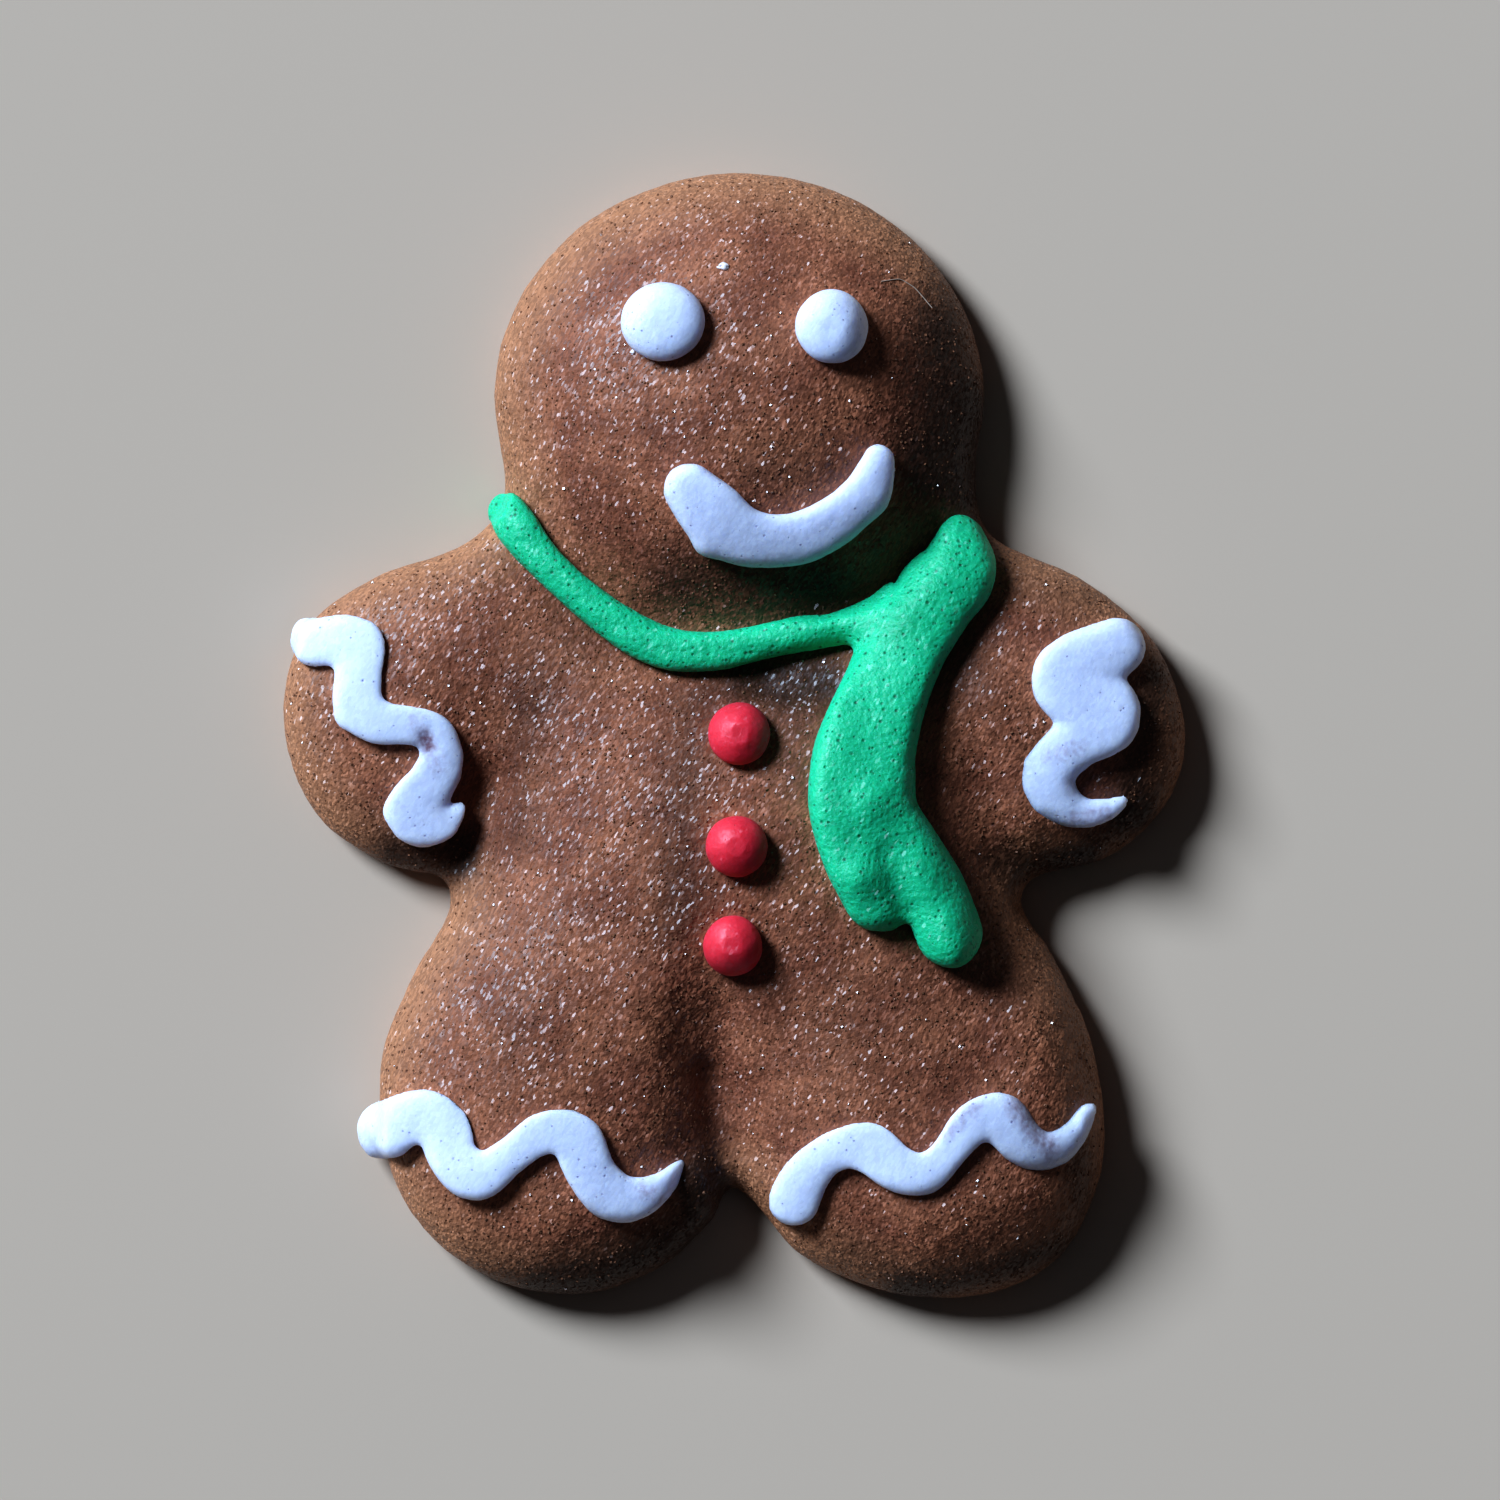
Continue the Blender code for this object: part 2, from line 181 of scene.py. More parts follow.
@dataclass(frozen=True)
class Grains:
    """Small flat grains that the shader draws, each with its own tilt and tone."""

    size: float
    stretch: tuple[float, float, float] = (2.0, 0.8, 1.0)  # times the size, along and across
    heading: float = 58.0  # degrees from +X towards +Y that they are stretched along

    def draw(
        self, tree: bpy.types.NodeTree, place: bpy.types.NodeSocket
    ) -> tuple[bpy.types.NodeSocket, bpy.types.NodeSocket]:
        """Draws the grains.

        Args:
            tree: The material's node tree.
            place: The socket that gives the place.

        Returns:
            The socket of each grain's lean, small for most of them, and of its tone from 0 to 1.
        """
        turn = {"Vector": place, "Rotation": (0.0, 0.0, math.radians(self.heading))}
        turned = add_node(tree, "Mapping", turn | {"Scale": self.stretch}, vector_type="TEXTURE")[0]
        cells = add_node(tree, "TexVoronoi", {"Vector": turned, "Scale": per_mm(self.size)})
        colour = cells["Color"]
        centred = add_node(
            tree, "VectorMath", {0: colour, 1: (0.5, 0.5, 0.5)}, operation="SUBTRACT"
        )[0]
        tone = add_node(tree, "SeparateXYZ", {0: colour})["Z"]
        lean = add_node(tree, "VectorMath", {0: centred, "Scale": tone}, operation="SCALE")[0]
        return lean, tone


def tilted(
    tree: bpy.types.NodeTree,
    normal: bpy.types.NodeSocket,
    lean: bpy.types.NodeSocket,
    amount: float,
) -> bpy.types.NodeSocket:
    """Tilts a normal by a lean.

    Args:
        tree: The material's node tree.
        normal: The socket of the normal.
        lean: The socket of the lean.
        amount: How much of the lean is added.

    Returns:
        The socket of the tilted normal.
    """
    lean = add_node(tree, "VectorMath", {0: lean, "Scale": amount}, operation="SCALE")[0]
    face = add_node(tree, "VectorMath", {0: normal, 1: lean}, operation="ADD")[0]
    return add_node(tree, "VectorMath", {0: face}, operation="NORMALIZE")[0]


@dataclass(frozen=True)
class BakedCrust:
    """Gingerbread, rolled, cut and baked: its top dried to a sandy crust.

    The eye sees matt brown dough that is darker in patches, a paler band along its outline,
    pits of burst bubbles with painted shade in them, and small glazed grains, each tilted its
    own way, that flash in the lamp. Painted shade darkens the crust on its shaded sides, in
    creases and under the icing.
    """

    deep: str = "8d553c"
    brown: str = "a66a4c"
    # paler within rim_width of the outline
    rim: str = "b27b58"
    # painted shade: the colour that the shaded places are darkened towards
    painted_shade_colour: str = "351c0c"
    # painted shade in the pits of burst bubbles
    pore_shade: str = "55291a"
    rim_width: float = 2.2
    patch: float = 2.6  # width of a browner patch
    patch_edges: tuple[float, float] = (0.36, 0.64)  # where in the noise it begins and is full
    sand: float = 0.14  # a crumb of the dried dough
    sand_height: float = 0.045
    lump: float = 0.62  # a coarse crumb under the skin
    lump_height: float = 0.05
    tone: tuple[float, float] = (0.7, 1.3)  # of the darkest grains and of the palest
    pores: Pores = Pores(0.7, 0.09)
    pore_depth: float = 0.06
    roughness: float = 0.7
    ior: float = 1.45
    grains: Grains = Grains(0.09)  # the real ones are half of this, finer than can be drawn
    grain_tilt: float = 1.0  # of the matt dough
    glaze_tilt: float = 1.9
    glaze: float = 0.42
    glaze_roughness: float = 0.26

    def make(self) -> bpy.types.Material:
        """Makes the crust's material.

        Returns:
            The material.
        """
        material, tree, shader = start_material("gingerbread crust")
        place = add_node(tree, "TexCoord")["Object"]
        inland = add_node(tree, "Attribute", attribute_name=INLAND)["Fac"]
        patches, sand, lumps = (
            add_node(tree, "TexNoise", {"Vector": place, "Scale": per_mm(size), "Detail": 2.0})[0]
            for size in (self.patch, self.sand, self.lump)
        )
        lean, tone = self.grains.draw(tree, place)
        pores = self.pores.draw(tree, place)
        begins, full = self.patch_edges
        baked = add_node(tree, "MapRange", {0: patches, 1: begins, 2: full})[0]
        dough = add_node(
            tree, "Mix", {0: baked, 6: linear(self.deep), 7: linear(self.brown)}, data_type="RGBA"
        )[2]
        edge = add_node(tree, "MapRange", {0: inland, 1: self.rim_width, 2: 0.0})[0]
        dough = add_node(tree, "Mix", {0: edge, 6: dough, 7: linear(self.rim)}, data_type="RGBA")[2]
        # Painted shade: darkens the crust on its shaded sides, in creases and under the icing.
        painted_shade = add_node(tree, "Attribute", attribute_name=PAINTED_SHADE)["Fac"]
        dough = add_node(
            tree, "Mix", {0: painted_shade, 6: dough, 7: linear(self.painted_shade_colour)}, data_type="RGBA"
        )[2]
        dark, pale = self.tone
        tone = add_node(tree, "MapRange", {0: tone, 3: dark, 4: pale})[0]
        dough = add_node(
            tree, "Mix", {0: 1.0, 6: dough, 7: tone}, data_type="RGBA", blend_type="MULTIPLY"
        )[2]
        # Painted shade in the pits.
        dough = add_node(
            tree, "Mix", {0: pores, 6: dough, 7: linear(self.pore_shade)}, data_type="RGBA"
        )[2]
        skin = relief(
            tree,
            ((sand, self.sand_height), (lumps, self.lump_height), (pores, -self.pore_depth)),
        )
        flat = add_node(tree, "NewGeometry")["Normal"]
        tree.links.new(dough, shader.inputs["Base Color"])
        tree.links.new(tilted(tree, skin, lean, self.grain_tilt), shader.inputs["Normal"])
        tree.links.new(tilted(tree, flat, lean, self.glaze_tilt), shader.inputs["Coat Normal"])
        shader.inputs["Roughness"].default_value = self.roughness
        shader.inputs["IOR"].default_value = self.ior
        shader.inputs["Coat Weight"].default_value = self.glaze
        shader.inputs["Coat Roughness"].default_value = self.glaze_roughness
        return material


@dataclass(frozen=True)
class RoyalIcing:
    """Royal icing, beaten egg white and sugar, piped and air-dried to a matt shell.

    The eye sees a soft even colour, because light soaks in, with a faint grain and the pits of air
    bubbles, which hold painted shade. Where the icing lies in a shallow layer the biscuit shows
    through; on the green scarf the same mix paints shade and mottle.
    """

    name: str
    colour: str
    thin_and_shade: str  # colour where the biscuit shows through; on the green, painted shade and mottle
    # painted shade in the pits of air bubbles
    pit_shade: str
    pores: Pores
    roughness: float = 0.5
    depth: float = 0.35  # how far light soaks in
    soak: tuple[float, float, float] = (1.0, 0.9, 0.8)  # share of that for red, green and blue
    cloud: float = 0.2  # a blob of undissolved sugar
    grit: float = 0.03  # height that it stands up
    pore_depth: float = 0.05
    bare_and_shade_range: tuple[float, float] = (0.1, 0.5)  # share where the biscuit begins to show, and does; on the scarf, the painted shade and mottle
    tone: tuple[float, float] = (0.93, 1.04)  # of the darkest grains and of the palest
    grains: Grains = Grains(0.12)
    glaze: float = 0.0
    glaze_tilt: float = 2.2
    glaze_roughness: float = 0.35

    def make(self) -> bpy.types.Material:
        """Makes the icing's material.

        Returns:
            The material.
        """
        material, tree, shader = start_material(self.name)
        place = add_node(tree, "TexCoord")["Object"]
        layer = add_node(tree, "Attribute", attribute_name=THIN_AND_SHADE)["Fac"]
        blobs = {"Vector": place, "Scale": per_mm(self.cloud), "Detail": 3.0}
        cloud = add_node(tree, "TexNoise", blobs)["Fac"]
        lean, tone = self.grains.draw(tree, place)
        pores = self.pores.draw(tree, place)
        patchy = add_node(tree, "Math", {0: layer, 1: cloud}, operation="MULTIPLY")[0]
        begins, full = self.bare_and_shade_range
        # Where the biscuit shows through; on the scarf, painted shade and mottle.
        bare_and_shade = add_node(tree, "MapRange", {0: patchy, 1: begins, 2: full})[0]
        body = add_node(
            tree, "Mix", {0: bare_and_shade, 6: linear(self.colour), 7: linear(self.thin_and_shade)}, data_type="RGBA"
        )[2]
        dark, pale = self.tone
        tone = add_node(tree, "MapRange", {0: tone, 3: dark, 4: pale})[0]
        body = add_node(
            tree, "Mix", {0: 1.0, 6: body, 7: tone}, data_type="RGBA", blend_type="MULTIPLY"
        )[2]
        # Painted shade in the pits.
        body = add_node(tree, "Mix", {0: pores, 6: body, 7: linear(self.pit_shade)}, data_type="RGBA")[2]
        skin = relief(tree, ((cloud, self.grit), (pores, -self.pore_depth)))
        flat = add_node(tree, "NewGeometry")["Normal"]
        tree.links.new(body, shader.inputs["Base Color"])
        tree.links.new(skin, shader.inputs["Normal"])
        tree.links.new(tilted(tree, flat, lean, self.glaze_tilt), shader.inputs["Coat Normal"])
        shader.inputs["Roughness"].default_value = self.roughness
        shader.inputs["Coat Weight"].default_value = self.glaze
        shader.inputs["Coat Roughness"].default_value = self.glaze_roughness
        shader.inputs["Subsurface Weight"].default_value = 1.0
        shader.inputs["Subsurface Radius"].default_value = self.soak
        shader.inputs["Subsurface Scale"].default_value = self.depth * MM
        return material


@dataclass(frozen=True)
class SugarCrystal:
    """Sugar crystals, sieved fine: flat clear faces that flash, tinted by the dough below."""

    colour: str = "8c624a"
    roughness: float = 0.16
    ior: float = 1.56

    def make(self) -> bpy.types.Material:
        """Makes the crystals' material.

        Returns:
            The material.
        """
        material, _, shader = start_material("sugar crystals")
        shader.inputs["Base Color"].default_value = linear(self.colour)
        shader.inputs["Roughness"].default_value = self.roughness
        shader.inputs["IOR"].default_value = self.ior
        return material


@dataclass(frozen=True)
class PaleFibre:
    """A textile fibre, spun: pale and smooth, with a soft shine along it."""

    colour: str = "cbb3a0"
    roughness: float = 0.4

    def make(self) -> bpy.types.Material:
        """Makes the fibre's material.

        Returns:
            The material.
        """
        material, _, shader = start_material("pale fibre")
        shader.inputs["Base Color"].default_value = linear(self.colour)
        shader.inputs["Roughness"].default_value = self.roughness
        return material


@dataclass(frozen=True)
class PalePaper:
    """Uncoated paper, as the plain pale ground: matt, with no shine of its own."""

    colour: str = "cfb8a3"

    def make(self) -> bpy.types.Material:
        """Makes the ground's material.

        Returns:
            The material.
        """
        material, _, shader = start_material("pale paper")
        shader.inputs["Base Color"].default_value = linear(self.colour)
        shader.inputs["Roughness"].default_value = 1.0
        shader.inputs["Specular IOR Level"].default_value = 0.0
        return material


class Icing(Enum):
    """The three icings: the record's material slot and the finish of each."""

    WHITE = (
        "white_icing",
        RoyalIcing(
            "white royal icing",
            colour="dee0f2",
            thin_and_shade="9c7a86",
            pit_shade="8a80a4",
            pores=Pores(0.36, 0.06),
            roughness=0.6,
            depth=0.8,
        ),
    )
    RED = (
        "red_icing",
        RoyalIcing(
            "red royal icing",
            colour="e84050",
            thin_and_shade="c02636",
            pit_shade="a01a28",
            pores=Pores(0.5, 0.05),
            glaze=0.15,
        ),
    )
    GREEN = (
        "green_icing",
        RoyalIcing(
            "green royal icing",
            colour="20ca94",
            # a darker green: painted shade and mottle on the scarf's knot and tail end
            thin_and_shade="189a68",
            pit_shade="0a5a38",
            pores=Pores(0.25, 0.085),
            roughness=0.55,
            glaze=0.3,
            grit=0.09,
        ),
    )

    @property
    def slot(self) -> str:
        """The record's slot."""
        return self.value[0]

    @property
    def finish(self) -> RoyalIcing:
        """The finish."""
        return self.value[1]


# Meshes and places on them


def points_of(mesh: bpy.types.Mesh) -> Array:
    """The mesh's vertices in millimetres, one row each.

    Args:
        mesh: The mesh.

    Returns:
        Three numbers a row.
    """
    flat = np.empty(3 * len(mesh.vertices), np.float32)
    mesh.vertices.foreach_get("co", flat)
    return flat.reshape(-1, 3).astype(float) / MM


def normals_of(mesh: bpy.types.Mesh) -> Array:
    """The mesh's vertex normals, one row each.

    Args:
        mesh: The mesh.

    Returns:
        Three numbers a row.
    """
    flat = np.empty(3 * len(mesh.vertices), np.float32)
    mesh.vertex_normals.foreach_get("vector", flat)
    return flat.reshape(-1, 3).astype(float)


def set_points(mesh: bpy.types.Mesh, points: Array) -> None:
    """Moves the mesh's vertices to these points, in millimetres."""
    mesh.vertices.foreach_set("co", (points * MM).astype(np.float32).ravel())
    mesh.update()


def add_values(mesh: bpy.types.Mesh, name: str, values: Array) -> None:
    """Adds a named number to each vertex, which a shader can read."""
    layer = mesh.attributes.new(name, "FLOAT", "POINT")
    layer.data.foreach_set("value", values.astype(np.float32))


def evened(mesh: bpy.types.Mesh, values: Array, share: Array | float, rounds: int) -> Array:
    """Evens out numbers over a mesh.

    Args:
        mesh: The mesh, for its edges.
        values: A number or a row of numbers for each vertex.
        share: How strongly each vertex takes part, from 0 to 1.
        rounds: How often it is done.

    Returns:
        The new numbers.
    """
    ends = np.empty(2 * len(mesh.edges), np.int32)
    mesh.edges.foreach_get("vertices", ends)
    first, second = ends.reshape(-1, 2).T
    count = len(values)
    ways = np.bincount(first, minlength=count) + np.bincount(second, minlength=count)
    columns = np.atleast_2d(values.T).copy()
    for _ in range(rounds):
        for column in columns:
            total = np.bincount(first, column[second], count)
            total += np.bincount(second, column[first], count)
            column += 0.5 * share * (total / ways - column)
    return columns.T.reshape(values.shape)


def smooth_step(values: Array, low: float, high: float) -> Array:
    """Rises smoothly from 0 at low to 1 at high."""
    share = np.clip((values - low) / (high - low), 0.0, 1.0)
    return share * share * (3 - 2 * share)


def refined(node: str, voxel: float, rounds: int) -> bpy.types.Mesh:
    """A CAD solid's mesh, rounded and made of small even faces.

    Args:
        node: The CAD node.
        voxel: Size of the new faces.
        rounds: How often the new faces are smoothed.

    Returns:
        The new mesh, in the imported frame.
    """
    obj = bpy.data.objects.new(node + "_work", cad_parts[node].data.copy())
    bpy.context.scene.collection.objects.link(obj)
    weld = obj.modifiers.new("weld", "WELD")
    weld.merge_threshold = 0.001 * MM
    rounding = obj.modifiers.new("rounding", "SUBSURF")
    rounding.levels = rounding.render_levels = 2
    remesh = obj.modifiers.new("remesh", "REMESH")
    remesh.mode = "VOXEL"
    remesh.voxel_size = voxel * MM
    smooth = obj.modifiers.new("smooth", "SMOOTH")
    smooth.factor = 0.5
    smooth.iterations = rounds
    graph = bpy.context.evaluated_depsgraph_get()
    mesh = bpy.data.meshes.new_from_object(obj.evaluated_get(graph))
    bpy.data.objects.remove(obj)
    mesh.materials.clear()
    return mesh


def add_piece(name: str, mesh: bpy.types.Mesh, finish: Finish) -> bpy.types.Object:
    """Puts a finished mesh in the scene as a piece that rides on the biscuit's body.

    Args:
        name: The piece's name.
        mesh: Its mesh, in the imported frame.
        finish: What makes its material.

    Returns:
        The new object.
    """
    mesh.name = name
    mesh.materials.append(finish.make())
    mesh.shade_smooth()
    piece = bpy.data.objects.new(name, mesh)
    bpy.context.scene.collection.objects.link(piece)
    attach(piece, BODY)
    return piece


def search_tree(pieces: Iterable[bpy.types.Object]) -> BVHTree:
    """A search tree of the pieces' faces, in millimetres.

    Args:
        pieces: The pieces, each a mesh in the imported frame.

    Returns:
        The tree.
    """
    points: list[list[float]] = []
    faces: list[list[int]] = []
    for piece in pieces:
        first = len(points)
        points += points_of(piece.data).tolist()
        faces += [[first + i for i in face.vertices] for face in piece.data.polygons]
    return BVHTree.FromPolygons(points, faces)


def top_of(tree: BVHTree, x: float, y: float) -> tuple[Vector | None, Vector | None]:
    """The highest point over a place on the ground and its normal, or nothing."""
    return tree.ray_cast(Vector((x, y, RAY_TOP)), Vector((0.0, 0.0, -1.0)))[:2]


@dataclass(frozen=True)
class Relief:
    """One layer of smooth random relief."""

    cell: float  # size of its humps
    height: float

    def at(self, points: Array) -> Array:
        """The layer's height at each point.

        Args:
            points: The points, one row each.

        Returns:
            The heights.
        """
        shift = Vector((self.height * 977, self.cell * 613, 0.0))
        scale = 1 / self.cell
        return self.height * np.array([noise.noise(Vector(p) * scale + shift) for p in points])


@dataclass(frozen=True)
class Dab:
    """A soft local change along a short line, in the plane of the ground."""

    start: tuple[float, float]
    end: tuple[float, float]
    reach: float
    amount: float

    def at(self, points: Array) -> Array:
        """The change at each point: the full amount on the line, fading out past its reach.

        Args:
            points: The points, one row each.

        Returns:
            The changes.
        """
        start, end = np.array(self.start), np.array(self.end)
        line = end - start
        offset = points[:, :2] - start
        along = np.clip(offset @ line / max(line @ line, 1e-9), 0.0, 1.0)
        gap = np.linalg.norm(offset - along[:, None] * line, axis=1)
        return self.amount * np.exp(-((gap / self.reach) ** 2))


# The pieces


@dataclass
class Biscuit:
    """The baked biscuit: the CAD solid's shape with an uneven, sandy crust."""

    node: str = "biscuit"
    voxel: float = 0.15
    rounds: int = 3
    finish: Finish = field(default_factory=BakedCrust)
    layers: tuple[Relief, ...] = (
        Relief(5.5, 0.06),
        Relief(2.4, 0.025),
        Relief(1.0, 0.02),
        Relief(0.42, 0.02),
    )
    pushes: tuple[Dab, ...] = (  # swells, and hollows below 0
        Dab((-3.4, -10.5), (-3.0, -15.0), 1.6, 0.45),
        Dab((-1.0, -13.5), (-0.6, -18.0), 0.6, -0.25),
        Dab((12.0, -11.5), (12.4, -15.2), 1.6, 0.6),
        Dab((12.2, -0.5), (12.4, -4.2), 1.7, 0.45),
        Dab((5.6, 17.2), (6.0, 15.5), 1.4, 0.22),
        Dab((8.0, -19.4), (12.6, -18.2), 1.8, 0.45),
        Dab((-7.2, -19.6), (-5.0, -19.6), 1.3, 0.25),
        Dab((1.2, 2.0), (4.0, 1.6), 0.8, -0.35),
        Dab((-9.8, -2.0), (-10.9, -5.2), 0.9, -0.4),
        Dab((10.4, 1.0), (11.1, -3.3), 1.5, 0.55),
        Dab((-1.3, -10.8), (-1.1, -12.4), 0.9, 0.2),
        Dab((1.0, -10.6), (0.4, -13.0), 1.0, 0.25),
        Dab((-1.6, -18.0), (-1.0, -19.4), 1.0, 0.6),
        Dab((11.0, -5.0), (15.2, -4.5), 1.3, -0.3),
    )
    painted_shades: tuple[Dab, ...] = (  # painted shade, on shaded sides, in creases and under the icing
        Dab((7.8, 16.0), (8.4, 10.0), 1.4, 0.7),
        Dab((8.2, 17.6), (9.4, 13.6), 0.9, 0.4),
        Dab((7.0, 11.4), (7.2, 10.4), 0.9, 0.5),
        Dab((9.8, 12.6), (9.8, 8.6), 1.3, 0.6),
        Dab((-2.0, 6.2), (3.5, 6.0), 1.6, 0.75),
        Dab((0.4, 2.4), (3.6, 2.2), 1.3, 0.9),
        Dab((-8.0, 2.6), (-6.6, 3.2), 1.6, 0.25),
        Dab((9.4, 3.6), (9.4, 2.2), 1.2, 0.5),
        Dab((-1.6, 1.0), (-2.4, -7.5), 1.2, 0.5),
        Dab((2.0, 1.0), (2.6, -1.6), 1.2, 0.3),
        Dab((0.8, 10.5), (4.2, 10.5), 1.2, 0.3),
        Dab((13.6, -16.6), (14.0, -19.0), 0.8, 0.6),
        Dab((11.0, 6.4), (14.0, 5.2), 1.2, 0.3),
        Dab((11.0, -5.2), (13.8, -5.2), 1.0, 0.7),
        Dab((13.8, -5.2), (16.4, -3.2), 1.0, 0.4),
        Dab((15.8, -3.0), (16.8, 2.2), 1.1, 0.8),
        Dab((-0.9, -16.0), (-0.8, -18.0), 0.7, 0.4),
        Dab((-8.2, 1.0), (-8.6, -4.0), 1.2, 0.35),
        Dab((-13.6, -4.7), (-11.6, -4.9), 1.2, 0.9),
        Dab((-10.8, -4.0), (-11.2, -5.0), 1.0, 0.4),
        Dab((-9.8, -21.6), (-7.0, -22.4), 1.0, 0.5),
        Dab((-7.0, -22.2), (-1.5, -20.2), 1.4, 0.9),
        Dab((4.8, -20.8), (7.0, -22.2), 0.9, 0.4),
        Dab((-1.4, -17.8), (-0.3, -19.6), 1.0, 1.4),
        Dab((7.0, -22.3), (13.6, -20.5), 0.9, 0.8),
        Dab((9.6, -8.6), (10.8, -10.6), 1.2, 0.3),
        Dab((4.2, -11.6), (4.2, -11.6), 2.0, 0.2),
        Dab((-8.4, -8.0), (-8.8, -12.0), 1.8, 0.2),
    )
    painted_shade_limit: float = 0.88  # of the darkest painted shade
    flat_foot: float = 0.25  # height below which the wall and underside stay as in the CAD
    foot_top: float = 1.0  # height from which the relief has its full strength

    def build(self) -> bpy.types.Object:
        """Builds the piece.

        Returns:
            The biscuit's object.
        """
        mesh = refined(self.node, self.voxel, self.rounds)
        points = points_of(mesh)
        normals = normals_of(mesh)
        heights = sum(layer.at(points) for layer in self.layers)
        heights += sum(push.at(points) for push in self.pushes) * normals[:, 2].clip(0.0, 1.0)
        heights *= smooth_step(points[:, 2], self.flat_foot, self.foot_top)
        set_points(mesh, points + normals * heights[:, None])
        add_values(mesh, INLAND, self.inland(points))
        # Painted shade, kept in a mesh attribute that the crust's shader reads.
        darkness = sum(painted_shade.at(points) for painted_shade in self.painted_shades)
        add_values(mesh, PAINTED_SHADE, darkness.clip(0.0, self.painted_shade_limit))
        self.close_underside(mesh)
        piece = add_piece(self.node, mesh, self.finish)
        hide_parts(self.node)
        return piece

    def inland(self, points: Array) -> Array:
        """How far each point is from the outline, seen from above.

        Args:
            points: The mesh's points.

        Returns:
            The distances.
        """
        wall = points[(points[:, 2] > self.flat_foot) & (points[:, 2] < self.foot_top)]
        tree = KDTree(len(wall))
        for i, point in enumerate(wall):
            tree.insert((point[0], point[1], 0.0), i)
        tree.balance()
        return np.array([tree.find((x, y, 0.0))[2] for x, y, _ in points])

    def close_underside(self, mesh: bpy.types.Mesh) -> None:
        """Makes the flat underside one face, which leaves the fine faces to what shows.

        Args:
            mesh: The biscuit's mesh.
        """
        shape = bmesh.new()
        shape.from_mesh(mesh)
        level = self.voxel * MM / 2
        flat = [f for f in shape.faces if all(v.co.z < level for v in f.verts)]
        bmesh.ops.dissolve_faces(shape, faces=flat, use_verts=True)
        shape.to_mesh(mesh)
        shape.free()


@dataclass
class PipedIcing:
    """A piece of piped royal icing: the CAD solid's shape, rounded and bedded on the crust."""

    node: str
    icing: Icing
    voxel: float = 0.09
    rounds: int = 6
    bed: float = 0.3  # how far its underside goes into the crust
    levelling: float = 0.0  # how flat its top ran: below 0 it peaks, and at 0 nothing is done
    height: float = 1.0  # share of its height that it then has
    run: float = 1.5  # how far a slope of its bed is evened out in its top
    steep: float = 0.5  # a normal's Z below which the crust is a wall and bears no icing
    wall_rounds: int = 200
    crest: float = 97.0  # percentile of the heights that counts as its full height
    layers: tuple[Relief, ...] = (Relief(1.6, 0.04), Relief(0.5, 0.014))
    soft_spots: tuple[Dab, ...] = ()  # where its lumps ran together
    soft_rounds: int = 300
    pushes: tuple[Dab, ...] = ()  # lumps and hollows
    bulges: tuple[Dab, ...] = ()  # where its outline stands out, or in below 0
    thin_and_shaded_spots: tuple[Dab, ...] = ()  # where the biscuit shows through; on the scarf, painted shade and mottle

    def build(self, crust: BVHTree) -> bpy.types.Object:
        """Builds the piece.

        Args:
            crust: The search tree of the biscuit that it lies on.

        Returns:
            The icing's object.
        """
        mesh = refined(self.node, self.voxel, self.rounds)
        points = points_of(mesh)
        normals = normals_of(mesh)
        if self.soft_spots:
            share = sum(spot.at(points) for spot in self.soft_spots).clip(0.0, 1.0)
            share *= smooth_step(normals[:, 2], *FACES_UP)
            points = evened(mesh, points, share, self.soft_rounds)
            set_points(mesh, points)
            normals = normals_of(mesh)
        if self.levelling:
            raised = self.lift(mesh, points, crust)
            points[:, 2] += raised * smooth_step(normals[:, 2], *FACES_OUT)
            set_points(mesh, points)
            normals = normals_of(mesh)
        heights = sum(layer.at(points) for layer in self.layers)
        heights += sum(push.at(points) for push in self.pushes) * normals[:, 2].clip(0.0, 1.0)
        # Where the biscuit shows through; on the scarf, painted shade and mottle.
        thin_and_shade = sum((spot.at(points) for spot in self.thin_and_shaded_spots), np.zeros(len(points)))
        for bulge in self.bulges:
            points[:, :2] += normals[:, :2] * bulge.at(points)[:, None]
        points += normals * heights[:, None]
        points[:, 2] -= self.bed * smooth_step(-normals[:, 2], *FACES_DOWN)
        set_points(mesh, points)
        add_values(mesh, THIN_AND_SHADE, thin_and_shade.clip(0.0, 1.0))
        piece = add_piece(self.node, mesh, self.icing.finish)
        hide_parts(self.node)
        return piece

    def lift(self, mesh: bpy.types.Mesh, points: Array, crust: BVHTree) -> Array:
        """How far each point moves up as the soft icing sinks together and runs level.

        Args:
            mesh: The mesh, for its edges.
            points: Its points.
            crust: The search tree of the biscuit.

        Returns:
            The heights to add.
        """
        tops = [top_of(crust, x, y) for x, y, _ in points]
        outside = np.array([spot is None or normal.z < self.steep for spot, normal in tops])
        beds = np.array([0.0 if spot is None else spot.z for spot, _ in tops])
        inside = np.flatnonzero(~outside)
        tree = KDTree(len(inside))
        for i in inside:
            tree.insert(points[i], i)
        tree.balance()
        for i in np.flatnonzero(outside):
            beds[i] = beds[tree.find(points[i])[1]]
        beds = evened(mesh, beds, outside.astype(float), self.wall_rounds)
        rise = (points[:, 2] - beds).clip(0.0)
        crest = np.percentile(rise, self.crest)
        fullness = 1 - (1 - (rise / crest).clip(0.0, 1.0)) ** (1 + self.levelling)
        level = evened(mesh, beds, 1.0, int(2 * (self.run / self.voxel) ** 2))
        return fullness * (level + self.height * crest - beds) - rise


